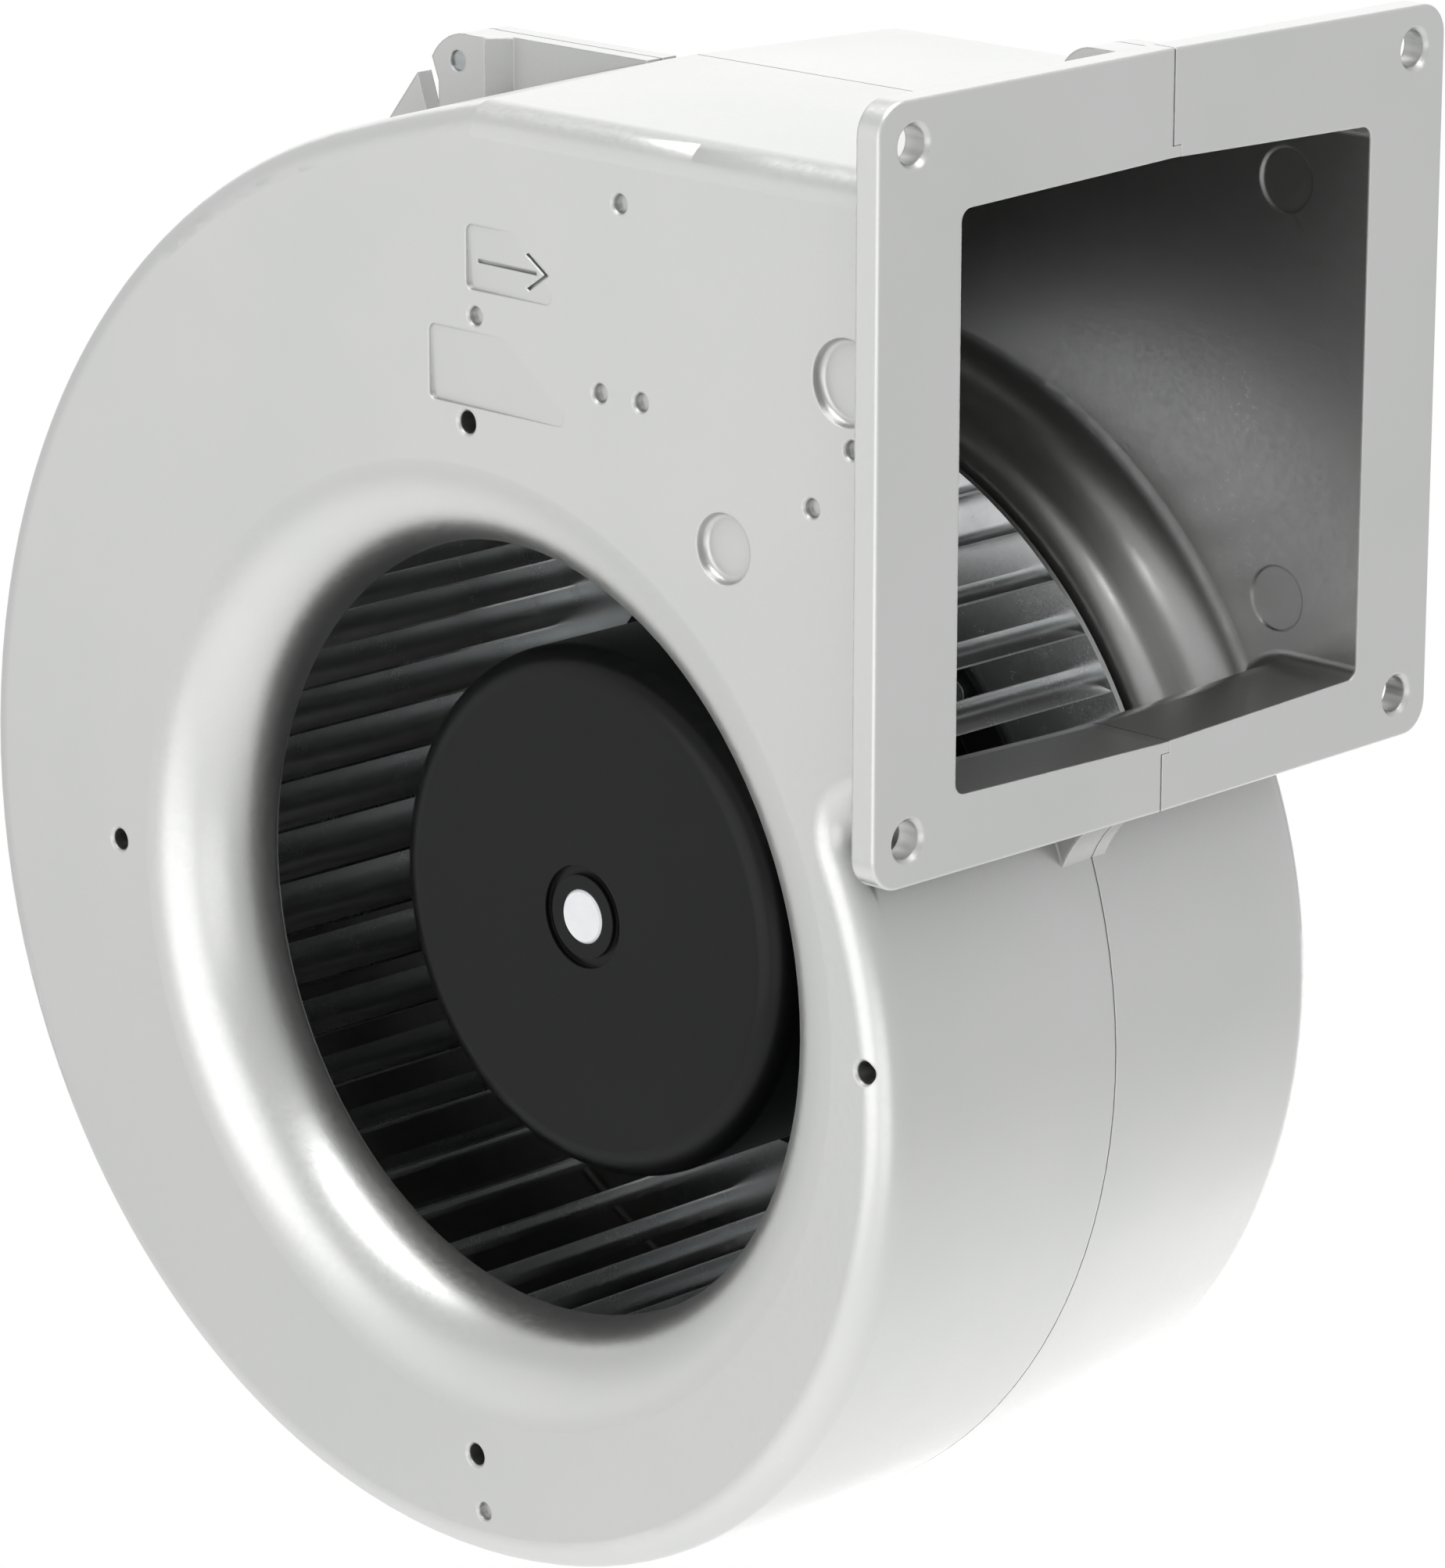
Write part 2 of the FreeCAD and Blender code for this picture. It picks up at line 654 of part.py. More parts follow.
def low_lug_outline():
    """Lug between the duct and the flange, with the hanging lip."""
    flange_foot = spot(flange_back + 1, flange_bottom + flange_drop / 2)
    tip = spot(flange_back - lip_tip_inset, duct_under - lip_tip_drop)
    curve = Part.Arc(tip, spot(flange_back - lip_bend_inset, duct_under - lip_bend_drop), flange_foot)
    corners = [flange_foot, spot(flange_back + 1, duct_under + 1),
               spot(flange_back - low_lug_length, duct_under + 1),
               spot(flange_back - lip_back_inset, duct_under - lip_back_drop), tip]
    return [curve] + [Part.LineSegment(a, b) for a, b in zip(corners, corners[1:])]


def lug_solids(tag, start, end, ear_web_start):
    """Solid lugs between two depths, before the scroll's inside is cut away."""
    top = flange_top - flange_drop
    shapes = [slab(f"Ear{tag}", ear_outline(), end, end - start),
              slab(f"EarWeb{tag}", ear_web_outline(), end, end - ear_web_start)]
    if float(ear_web_start) > float(start):
        shapes.append(ear_step(tag, start, ear_web_start))
    shapes.append(cylinder(f"HighLug{tag}", top - high_lug_z, start, end, high_lug_x, high_lug_z))
    shapes.append(box(f"HighLugFoot{tag}", (high_lug_x - (top - high_lug_z), start, duct_top - wall),
                      (flange_back + 1, end, high_lug_z)))
    shapes.append(box(f"HighLugSide{tag}", (high_lug_x, start, high_lug_z), (flange_back + 1, end, top)))
    shapes.append(slab(f"LowLug{tag}", low_lug_outline(), end, end - start))
    for index, (x, z) in enumerate(lug_places()[3:]):
        shapes.append(cylinder(f"HiddenLug{tag}{index}", lug_radius, start, end, x, z))
    return shapes


def ear_step(tag, start, web_start):
    """The 45 degree step between the ear's boss and its thinner web."""
    x, inside = ear_x + ear_inner - 0.1, web_start + 0.2
    foot = float(ear_z - ear_inner_foot)
    edges = polygon([(x, start), (x + web_start - start, inside), (x, inside)])
    face = Part.Face(Part.Wire([edge.toShape() for edge in edges]))
    face.translate(Vector(0, 0, foot))
    step = doc.addObject("Part::Feature", f"EarStep{tag}")
    step.Shape = face.extrude(Vector(0, 0, float(ear_z + ear_rise) - foot))
    return step


def lug_holes(tag, radius, start, end):
    return [cylinder(f"LugHole{tag}{index}", radius, start, end, x, z)
            for index, (x, z) in enumerate(lug_places())]


def inner_space(tag, side):
    """The air space of one half, from the parting plane to the inside of its face."""
    length = (half_depth - face_wall) * (-side)
    space = slab(f"Space{tag}", scroll_outline(-wall, flange_face + wall), half_depth, length, -draft_angle)
    inside = float(half_depth + side * (half_depth - face_wall))
    return fillet(f"SpaceRounded{tag}", space, inner_fillet,
                  lambda edge: in_plane(edge, "Y", inside) and not in_plane(edge, "X", flange_face + 5, 3.0))


def shell(tag, side):
    """Drafted outer solid of one half with its rounded face edge."""
    length = (half_depth - parting_gap / 2) * (-side)
    outer = slab(f"Shell{tag}", scroll_outline(0, flange_face - 1), half_depth + side * parting_gap / 2,
                 length, -draft_angle)
    face = float(half_depth + side * half_depth)
    return fillet(f"ShellRounded{tag}", outer, face_fillet,
                  lambda edge: in_plane(edge, "Y", face) and edge.BoundBox.XMin < float(flange_back) - 2)


def inlet_housing():
    """Inlet half: drafted scroll wall, duct, half flange, bell mouth and lugs."""
    parting = half_depth - parting_gap / 2
    tongue = slab("Tongue", scroll_outline(-(wall - tongue_width), flange_face), half_depth + tongue_length,
                  tongue_length + parting_gap)
    body = fuse("InletSolid", shell("Inlet", -1), flange_plate(-1), tongue,
                *lug_solids("Inlet", half_depth - lug_front, parting, half_depth - wall))
    boss = cylinder("GuardBoss", guard_boss_radius, face_wall / 2, guard_hole_depth + guard_boss_floor,
                    0.0, guard_circle_radius)
    tongue_space = slab("TongueSpace", scroll_outline(-wall, flange_face + wall),
                        half_depth + tongue_length + 1, tongue_length + 2)
    hollow = cut("InletHollow", body, fuse("InletCut", inner_space("Inlet", -1), tongue_space))
    rough = cut("InletMouthHole", fuse("InletWithBoss", hollow, boss),
                cylinder("MouthHole", throat_radius + mouth_radius, -1.0, face_wall + 1))
    full = fuse("InletWithMouth", rough, bell_mouth())
    tools = flange_holes(-1) + lug_holes("Inlet", screw_radius + seat_play, half_depth - lug_front - 1,
                                         half_depth + 1)
    ring = guard_circle_radius
    for index, (x, z) in enumerate(((ring, 0.0), (0.0, ring), (-ring, 0.0), (0.0, -ring))):
        end = guard_hole_depth if index == 1 else face_wall + 1
        tools.append(cylinder(f"GuardHole{index}", guard_hole_radius, -1.0, end, x, z))
        tools.append(cone(f"GuardHoleMouth{index}", guard_hole_radius + guard_hole_chamfer * 2,
                          guard_hole_radius, -guard_hole_chamfer, guard_hole_chamfer, x, z))
    tools += dimples()
    tools += round_marks()
    tools.append(sloped_pocket("ArrowPocket", arrow_pad_x, arrow_pad_z, arrow_pad_width, arrow_pad_height))
    tools.append(sloped_pocket("PlainPocket", plain_pad_x, plain_pad_z, plain_pad_width, plain_pad_height))
    tools += arrow()
    return node(cut("InletHousing", full, fuse("InletTools", *tools)), "inlet_housing")


def dimples():
    """Shallow blind marks of the mould in the inlet face."""
    places = ((low_dimple_x, low_dimple_z), (high_dimple_x, high_dimple_z), (arrow_dimple_x, arrow_dimple_z),
              (pair_dimple_x, pair_dimple_z), (pair_dimple_x + pair_dimple_pitch, pair_dimple_z),
              (duct_dimple_low_x, duct_dimple_low_z), (duct_dimple_high_x, duct_dimple_high_z))
    tools = []
    for index, (x, z) in enumerate(places):
        tools.append(cylinder(f"Dimple{index}", dimple_radius, -1.0, dimple_depth, x, z))
        tools.append(cone(f"DimpleMouth{index}", dimple_radius + dimple_chamfer * 2, dimple_radius,
                          -dimple_chamfer, dimple_chamfer, x, z))
    return tools


def round_marks():
    """Two wider round marks over the duct, with a rounded floor."""
    tools = []
    for name, radius, x, z in (("MarkLow", low_mark_radius, low_mark_x, low_mark_z),
                               ("MarkHigh", high_mark_radius, high_mark_x, high_mark_z)):
        mark = cone(name, radius + 0.2, radius - 0.4, -0.4, mark_depth, x, z)
        tools.append(fillet(name + "Rounded", mark, mark_round, lambda edge: in_plane(edge, "Y", mark_depth)))
    return tools


def arrow():
    """Engraved arrow for the direction of rotation: a shaft and an open head."""
    half_line = arrow_line / 2
    low, high = arrow_level - half_line, arrow_level + half_line
    barb, neck = arrow_tip - arrow_head_length, arrow_tip - arrow_head_length / 2
    shaft = polygon([(arrow_tail, low), (neck, low), (neck, high), (arrow_tail, high)])
    tools = [slab("ArrowShaft", shaft, arrow_depth, arrow_depth * 2)]
    for name, side in (("ArrowUpper", 1), ("ArrowLower", -1)):
        end = arrow_level + side * arrow_head_half
        line = polygon([(barb, end), (barb + arrow_line, end + side * half_line),
                        (arrow_tip + half_line, arrow_level), (arrow_tip - arrow_line, arrow_level)])
        tools.append(slab(name, line, arrow_depth, arrow_depth * 2))
    return tools


def sloped_pocket(name, x, z, width, height):
    """A pocket in the face, deepest at its lower left corner and fading to the upper right."""
    tall = pad_depth + 5
    tool = box(name, (0.0, 0.0, 0.0), (width, tall, height))
    lean = math.degrees(math.atan(float(pad_depth) / float(width))) * 0.9
    rise = math.degrees(math.atan(float(pad_depth) / float(height))) * 0.5
    turn = Rotation(Vector(0, 0, 1), -lean).multiply(Rotation(Vector(1, 0, 0), rise))
    tool.Placement = Placement(Vector(float(x), float(pad_depth), float(z))
                               - turn.multVec(Vector(0, float(tall), 0)), turn)
    axis = turn.multVec(Vector(0, 1, 0))
    return fillet(name + "Rounded", tool, pad_corner,
                  lambda edge: abs(abs(edge.tangentAt(edge.FirstParameter).dot(axis)) - 1) < 1e-6)


def bell_mouth():
    """Quarter-round inlet from the face into the throat, one wall thick."""
    mid = math.sqrt(0.5)
    r, t, w = float(mouth_radius), float(throat_radius), float(mouth_wall)
    centre = Vector(t + r, r, 0)
    lip = r + float(throat_lip)
    front, throat = Vector(t + r, 0, 0), Vector(t, r, 0)
    back_throat, back = Vector(t + w, r, 0), Vector(t + r, w, 0)
    outer_end = Vector(t + r + 1.0, 0, 0)
    edges = [
        Part.Arc(front, centre + Vector(-r * mid, -r * mid, 0), throat),
        Part.LineSegment(throat, Vector(t, lip, 0)),
        Part.LineSegment(Vector(t, lip, 0), Vector(t + w, lip, 0)),
        Part.LineSegment(Vector(t + w, lip, 0), back_throat),
        Part.Arc(back_throat, centre + Vector(-(r - w) * mid, -(r - w) * mid, 0), back),
        Part.LineSegment(back, outer_end + Vector(0, w, 0)),
        Part.LineSegment(outer_end + Vector(0, w, 0), outer_end),
        Part.LineSegment(outer_end, front)]
    return revolved("BellMouth", edges)


def dish_ring(face, floor):
    """Raised dish round the impeller, rounded at its rim and blended into the rear wall."""
    radius, blend, rim = float(dish_radius), float(dish_blend), float(dish_fillet)
    mid = math.sqrt(0.5)
    edges = [
        Part.LineSegment(Vector(0, face, 0), Vector(radius - rim, face, 0)),
        Part.Arc(Vector(radius - rim, face, 0), Vector(radius - rim + rim * mid, face + rim - rim * mid, 0),
                 Vector(radius, face + rim, 0)),
        Part.LineSegment(Vector(radius, face + rim, 0), Vector(radius, floor - blend, 0)),
        Part.Arc(Vector(radius, floor - blend, 0),
                 Vector(radius + blend - blend * mid, floor - blend + blend * mid, 0),
                 Vector(radius + blend, floor, 0)),
        Part.LineSegment(Vector(radius + blend, floor, 0), Vector(radius + blend, floor + 1, 0)),
        Part.LineSegment(Vector(radius + blend, floor + 1, 0), Vector(0, floor + 1, 0)),
        Part.LineSegment(Vector(0, floor + 1, 0), Vector(0, face, 0))]
    return revolved("DishRing", edges)


def revolved(name, edges):
    """A closed profile of radius and depth, turned a full turn about Y."""
    solid = doc.addObject("Part::Feature", name)
    face = Part.Face(Part.Wire([edge.toShape() for edge in edges]))
    solid.Shape = face.revolve(Vector(0, 0, 0), Vector(0, 1, 0), 360)
    return solid


def motor_housing():
    """Motor half: drafted scroll wall, duct, half flange, dish round the impeller and lugs."""
    parting = half_depth + parting_gap / 2
    body = fuse("MotorSolid", shell("Motor", 1), flange_plate(1),
                *lug_solids("Motor", parting, half_depth + lug_rear, parting))
    gusset_foot = ear_z - gusset_drop
    gusset = slab("Gusset", polygon([(-gusset_left, gusset_foot), (-gusset_tip_x, ear_z - gusset_tip_drop),
                                     (-gusset_right, gusset_foot)]),
                  half_depth + lug_rear, lug_rear - parting_gap / 2)
    rebate = slab("Rebate", scroll_outline(-(wall - tongue_width - tongue_gap), flange_face + wall),
                  half_depth + tongue_length, tongue_length + 2)
    hollow = cut("MotorHollow", fuse("MotorWithGusset", body, gusset),
                 fuse("MotorCut", inner_space("Motor", 1), rebate))
    dish_face = depth - face_wall - dish_depth
    slope = math.tan(math.radians(dish_slope))
    kept = common("DishInside", dish_ring(float(dish_face), float(depth - face_wall)),
                  slab("DishLimit", scroll_outline(-wall / 2, flange_back), half_depth, -half_depth))
    recess = cone("DishRecess", dish_radius - wall, dish_radius - wall + dish_depth * slope,
                  dish_face + wall, depth + 1)
    recess_rounded = fillet("RecessRounded", recess, dish_recess_fillet,
                            lambda edge: in_plane(edge, "Y", dish_face + wall))
    solid = fuse("MotorWithDish", hollow, kept)
    seat = half_depth + lug_rear
    tools = flange_holes(1) + lug_holes("Motor", screw_radius + hole_play, half_depth - 1, seat + 1)
    tools += lug_holes("MotorHeadRoom", screw_head_radius + seat_play, seat, seat + screw_head_height + 1)
    tools += [recess_rounded, cylinder("MotorHole", motor_hole_radius, dish_face - 1, depth)]
    inside = depth - face_wall
    for name, z in (("WallMarkLow", wall_mark_low_z), ("WallMarkHigh", wall_mark_high_z)):
        tools.append(cylinder(name, wall_mark_radius, inside - 1, inside + wall_mark_depth, wall_mark_x, z))
    for index in range(4):
        angle = math.radians(45 + 90 * index)
        x, z = motor_screw_circle_radius * math.cos(angle), motor_screw_circle_radius * math.sin(angle)
        tools.append(cylinder(f"MotorScrewHole{index}", motor_screw_radius + seat_play, dish_face - 1,
                              depth, x, z))
    return node(cut("MotorHousing", solid, fuse("MotorTools", *tools)), "motor_housing")


def housing_screws():
    """Five pan-head screws, from the motor side into the inlet half's lugs."""
    screws = []
    seat = half_depth + lug_rear
    for index, (x, z) in enumerate(lug_places()):
        shank = cylinder(f"ScrewShank{index}", screw_radius, half_depth - lug_front + screw_recess, seat,
                         x, z)
        head = cylinder(f"ScrewHead{index}", screw_head_radius, seat, seat + screw_head_height, x, z)
        top = seat + screw_head_height
        drive = box(f"ScrewSlot{index}", (x - drive_reach, top - drive_depth, z - drive_width / 2),
                    (x + drive_reach, top + 1, z + drive_width / 2))
        screws.append(cut(f"Screw{index}", fuse(f"ScrewBlank{index}", shank, head), drive))
    return node(gather("HousingScrews", screws), "housing_screws")


def gather(name, shapes):
    group = doc.addObject("Part::Compound", name)
    group.Links = shapes
    return group


# Impeller

def blade_profile():
    """Outline of one forward-curved blade, its inner edge on the +X axis."""
    inner, outer = float(blade_inner_radius), float(blade_outer_radius)
    lean = math.radians(blade_lean)
    root = Vector(inner, 0, 0)
    tip = Vector(outer * math.cos(lean), -outer * math.sin(lean), 0)
    chord = tip - root
    side = Vector(-chord.y, chord.x, 0).normalize()
    bow = float(blade_bow)
    middle = root + chord * 0.5 + side * bow
    centre = middle - side * (((chord.Length / 2) ** 2 + bow ** 2) / (2 * bow))
    half = float(blade_thickness) / 2

    def shifted(point, distance):
        return point + (point - centre).normalize() * distance

    outside = Part.Arc(shifted(root, half), shifted(middle, half), shifted(tip, half))
    inside = Part.Arc(shifted(tip, -half), shifted(middle, -half), shifted(root, -half))
    return [outside, Part.LineSegment(shifted(tip, half), shifted(tip, -half)), inside,
            Part.LineSegment(shifted(root, -half), shifted(root, half))]


def impeller():
    """Blade ring between the front ring and the back disc, and the rivets at the cup."""
    blade = slab("Blade", blade_profile(), disc_front, disc_front - ring_front - ring_thickness)
    node(around("ImpellerBlades", blade, blade_count, -float(blade_start_angle)), "impeller_blades")
    node(tube("ImpellerFrontRing", rim_radius, rim_radius - ring_width, ring_front,
              ring_front + ring_thickness), "impeller_front_ring")
    disc_back = disc_front + disc_thickness
    disc = tube("BackDiscBlank", rim_radius, disc_bore_radius, disc_front, disc_back)
    hole = cylinder("RivetHole", rivet_radius + seat_play, disc_front - 5, disc_back + 5,
                    rivet_circle_radius)
    holes = around("RivetHoles", hole, rivet_count)
    node(cut("ImpellerBackDisc", disc, holes), "impeller_back_disc")
    cup_seat = disc_front - cup_flange_thickness
    rivet = fuse("Rivet", cylinder("RivetShank", rivet_radius, cup_seat, disc_back, rivet_circle_radius, 0.0),
                 cylinder("RivetHead", rivet_head_radius, cup_seat - rivet_head_height, cup_seat,
                          rivet_circle_radius, 0.0),
                 cylinder("RivetTail", rivet_head_radius, disc_back, disc_back + rivet_head_height,
                          rivet_circle_radius, 0.0))
    node(around("ImpellerRivets", rivet, rivet_count), "impeller_rivets")
    return holes


def rotor(holes):
    """Rotor cup with its hub, laminated ring, end rings and shaft."""
    back = disc_front
    cup_inner = cup_radius - cup_wall
    inside = cup_face + cup_wall
    bore = shaft_head_radius + seat_play
    cup = lathe("CupTurned", [
        (bore, cup_face), (groove_inner_radius, cup_face), (groove_inner_radius, cup_face + groove_depth),
        (groove_outer_radius, cup_face + groove_depth), (groove_outer_radius, cup_face),
        (cup_radius, cup_face), (cup_radius, back - cup_flange_thickness),
        (cup_flange_radius, back - cup_flange_thickness), (cup_flange_radius, back), (cup_inner, back),
        (cup_inner, inside), (hub_radius, inside), (hub_radius, cup_face + hub_length),
        (bore, cup_face + hub_length)])
    round_cup = fillet("CupRounded", cup, cup_fillet,
                       lambda edge: in_plane(edge, "Y", cup_face)
                       and abs(edge.BoundBox.XMax - float(cup_radius)) < 0.01)
    node(cut("RotorCup", round_cup, holes), "rotor_cup")
    core_outer = cup_inner - seat_play
    core_end = core_front + core_length
    node(tube("RotorCore", core_outer, core_inner_radius, core_front, core_end), "rotor_core")
    rings = [tube("EndRingFront", core_outer, core_inner_radius, core_front - end_ring_length, core_front),
             tube("EndRingRear", core_outer, core_inner_radius, core_end, core_end + end_ring_length)]
    node(gather("RotorEndRings", rings), "rotor_end_rings")
    shaft_front = cup_face - shaft_proud
    head_end = cup_face + shaft_head_length
    groove = rear_bearing + race_length
    node(lathe("Shaft", [
        (0.0, shaft_front), (shaft_head_radius - shaft_chamfer, shaft_front),
        (shaft_head_radius, shaft_front + shaft_chamfer), (shaft_head_radius, head_end),
        (shaft_radius, head_end), (shaft_radius, groove), (clip_groove_radius, groove),
        (clip_groove_radius, groove + clip_groove_width), (shaft_radius, groove + clip_groove_width),
        (shaft_radius, shaft_end - shaft_chamfer), (shaft_radius - shaft_chamfer, shaft_end),
        (0.0, shaft_end)]), "shaft")
    clip_start = groove + (clip_groove_width - clip_thickness) / 2
    clip = tube("ClipRing", clip_radius, clip_groove_radius + seat_play, clip_start,
                clip_start + clip_thickness)
    gap = box("ClipGap", (0.0, groove - 1, -clip_opening / 2),
              (clip_radius + 1, groove + clip_groove_width + 1, clip_opening / 2))
    node(cut("ShaftClip", clip, gap), "shaft_clip")


def bearings():
    """Two shielded ball bearings and the preload washer against the front one."""
    for name, start in (("front", front_bearing), ("rear", rear_bearing)):
        end = start + race_length
        title = name.capitalize()
        race = bearing_outer_radius - race_thickness
        inner_radius = shaft_radius + seat_play
        lip = inner_radius + race_thickness + shield_play
        node(lathe(f"{title}BearingOuter", [
            (bearing_outer_radius, start), (lip, start), (lip, start + shield_thickness),
            (race, start + shield_thickness), (race, end - shield_thickness), (lip, end - shield_thickness),
            (lip, end), (bearing_outer_radius, end)]), f"{name}_bearing_outer")
        node(tube(f"{title}BearingInner", inner_radius + race_thickness, inner_radius, start, end),
             f"{name}_bearing_inner")
    end = front_bearing + race_length
    node(tube("PreloadWasher", bearing_outer_radius - hole_play, bearing_outer_radius - race_thickness, end,
              end + spring_thickness), "preload_washer")


def stator():
    """Laminated stator with slots, its windings and insulating collars."""
    outer = core_inner_radius - air_gap
    end = core_front + core_length
    blank = tube("StatorBlank", outer, tube_radius + seat_play, core_front, end)
    slot = fuse("Slot", box("SlotBody", (slot_inner_radius, core_front - 1, -slot_width / 2),
                            (slot_outer_radius, end + 1, slot_width / 2)),
                box("SlotMouth", (slot_outer_radius - 1, core_front - 1, -slot_mouth / 2),
                    (outer + 1, end + 1, slot_mouth / 2)))
    node(cut("StatorCore", blank, around("Slots", slot, slot_count)), "stator_core")
    play = slot_play
    bar = box("CoilBar", (slot_inner_radius + play, core_front - 1, play - slot_width / 2),
              (slot_outer_radius - play, end + 1, slot_width / 2 - play))
    start_ring = tube("CoilFront", winding_outer_radius, slot_inner_radius + play + collar_thickness,
                      core_front - winding_overhang, core_front - play)
    end_ring = tube("CoilRear", winding_outer_radius, slot_inner_radius + play + collar_thickness,
                    end + play, end + winding_overhang)
    node(fuse("StatorWindings", start_ring, end_ring, around("CoilBars", bar, slot_count)),
         "stator_windings")
    collars = [tube("CollarFront", slot_inner_radius, slot_inner_radius - collar_thickness,
                    core_front - winding_overhang, core_front),
               tube("CollarRear", slot_inner_radius, slot_inner_radius - collar_thickness, end,
                    end + winding_overhang)]
    node(gather("StatorCollars", collars), "stator_collars")


def motor_flange():
    """Cast motor flange with spigot, bearing tube, screw holes and cable hole."""
    seat = depth - face_wall - dish_depth + wall
    back = seat + flange_disc_thickness
    bore = bearing_outer_radius + seat_play
    shoulder = bearing_outer_radius - race_thickness
    spigot = motor_hole_radius - hole_play
    front_seat = front_bearing + race_length + spring_thickness
    body = lathe("MotorFlangeTurned", [
        (bore, tube_front), (tube_radius, tube_front), (tube_radius, seat - spigot_length),
        (spigot, seat - spigot_length), (spigot, seat), (flange_disc_radius, seat),
        (flange_disc_radius, back), (0.0, back), (0.0, back - cover_thickness),
        (bore, back - cover_thickness),
        (bore, rear_bearing), (shoulder, rear_bearing), (shoulder, front_seat), (bore, front_seat)])
    tools = []
    for index in range(4):
        angle = math.radians(45 + 90 * index)
        x, z = motor_screw_circle_radius * math.cos(angle), motor_screw_circle_radius * math.sin(angle)
        tools.append(cylinder(f"FlangeScrewHole{index}", motor_screw_radius + hole_play, seat - 1,
                              back + 1, x, z))
    tools.append(cylinder("CableHole", grommet_radius, seat - spigot_length - 1, back + 1, 0.0,
                          -grommet_circle_radius))
    node(cut("MotorFlange", body, fuse("FlangeTools", *tools)), "motor_flange")
    screws = []
    washers = []
    head_seat = back + washer_thickness
    for index in range(4):
        angle = math.radians(45 + 90 * index)
        x, z = motor_screw_circle_radius * math.cos(angle), motor_screw_circle_radius * math.sin(angle)
        head_end = head_seat + motor_screw_head_height
        blank = fuse(f"MotorScrewBlank{index}",
                     cylinder(f"MotorScrewShank{index}", motor_screw_radius, seat - wall + parting_gap,
                              head_seat, x, z),
                     cylinder(f"MotorScrewHead{index}", motor_screw_head, head_seat, head_end, x, z))
        socket = cylinder(f"MotorScrewSocket{index}", motor_socket_radius, head_end - motor_socket_depth,
                          head_end + 1, x, z)
        screws.append(cut(f"MotorScrew{index}", blank, socket))
        washers.append(tube(f"MotorWasher{index}", washer_radius, motor_screw_radius + hole_play, back,
                            head_seat, x, z))
    node(gather("MotorScrews", screws), "motor_screws")
    node(gather("MotorWashers", washers), "motor_washers")
    lip = fuse("GrommetBlank",
               cylinder("GrommetBody", grommet_radius - seat_play, seat - spigot_length + 1, back, 0.0,
                        -grommet_circle_radius),
               cylinder("GrommetLip", grommet_radius + grommet_lip, back, back + grommet_lip, 0.0,
                        -grommet_circle_radius))
    bore_hole = cylinder("GrommetBore", grommet_bore, seat - spigot_length, back + grommet_lip + 1, 0.0,
                         -grommet_circle_radius)
    node(cut("CableGrommet", lip, bore_hole), "cable_grommet")


inlet_housing()
motor_housing()
housing_screws()
rivet_holes = impeller()
rotor(rivet_holes)
bearings()
stator()
motor_flange()
doc.recompute()

for item in doc.Objects:
    if "Invalid" in item.State or "Error" in item.State:
        raise RuntimeError(f"{item.Name} ({item.Label}) did not build: {item.State}")
for item in nodes:
    if item.Shape.isNull() or not item.Shape.isValid() or not item.Shape.Solids:
        raise RuntimeError(f"{item.Label} has no valid solid")

os.makedirs("parts", exist_ok=True)
for item in nodes:
    item.Shape.exportStep(f"parts/{item.Label}.step")
    print(item.Label, len(item.Shape.Solids), round(item.Shape.Volume / 1000, 1), item.Shape.BoundBox)
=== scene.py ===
import math

import bpy
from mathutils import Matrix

# Looks of a centrifugal fan: satin grey housing, galvanised blade wheel, black rotor cup.

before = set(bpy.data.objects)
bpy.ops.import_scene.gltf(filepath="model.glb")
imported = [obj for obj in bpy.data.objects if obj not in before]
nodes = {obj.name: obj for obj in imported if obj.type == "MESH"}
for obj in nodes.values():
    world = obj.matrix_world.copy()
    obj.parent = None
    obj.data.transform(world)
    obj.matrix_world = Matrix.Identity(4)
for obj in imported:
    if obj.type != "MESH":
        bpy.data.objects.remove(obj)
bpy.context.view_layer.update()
scene = bpy.context.scene
MM = 0.001
# Reach of the ambient occlusion behind the painted shade in hollows
PAINTED_SHADE_REACH = 150 * MM


def linear(text):
    """A hex sRGB colour as linear RGBA."""
    values = [int(text[i:i + 2], 16) / 255 for i in (1, 3, 5)]
    return [v / 12.92 if v <= 0.04045 else ((v + 0.055) / 1.055) ** 2.4 for v in values] + [1.0]


# Materials

def add(tree, kind, inputs=None, **settings):
    """Add a shader node; inputs holds socket values or the sockets to link in."""
    node = tree.nodes.new("ShaderNode" + kind)
    for name, value in settings.items():
        setattr(node, name, value)
    for name, value in (inputs or {}).items():
        if isinstance(value, bpy.types.NodeSocket):
            tree.links.new(value, node.inputs[name])
        else:
            node.inputs[name].default_value = value
    return node


def noise(tree, place, size, detail=3.0, roughness=0.55):
    """Noise whose features are about size metres across."""
    return add(tree, "TexNoise", {"Vector": place, "Scale": 1.0 / size, "Detail": detail,
                                  "Roughness": roughness}).outputs["Fac"]


def spread(tree, value, low, high):
    """Noise around one half, stretched between low and high."""
    return add(tree, "MapRange", {"Value": value, "From Min": 0.3, "From Max": 0.7, "To Min": low,
                                  "To Max": high}).outputs["Result"]


def mix(tree, factor, first, second, blend="MIX"):
    """Blend two colours."""
    node = add(tree, "Mix", {"Factor": factor}, data_type="RGBA", blend_type=blend)
    for socket, value in ((node.inputs[6], first), (node.inputs[7], second)):
        if isinstance(value, bpy.types.NodeSocket):
            tree.links.new(value, socket)
        else:
            socket.default_value = value
    return node.outputs[2]


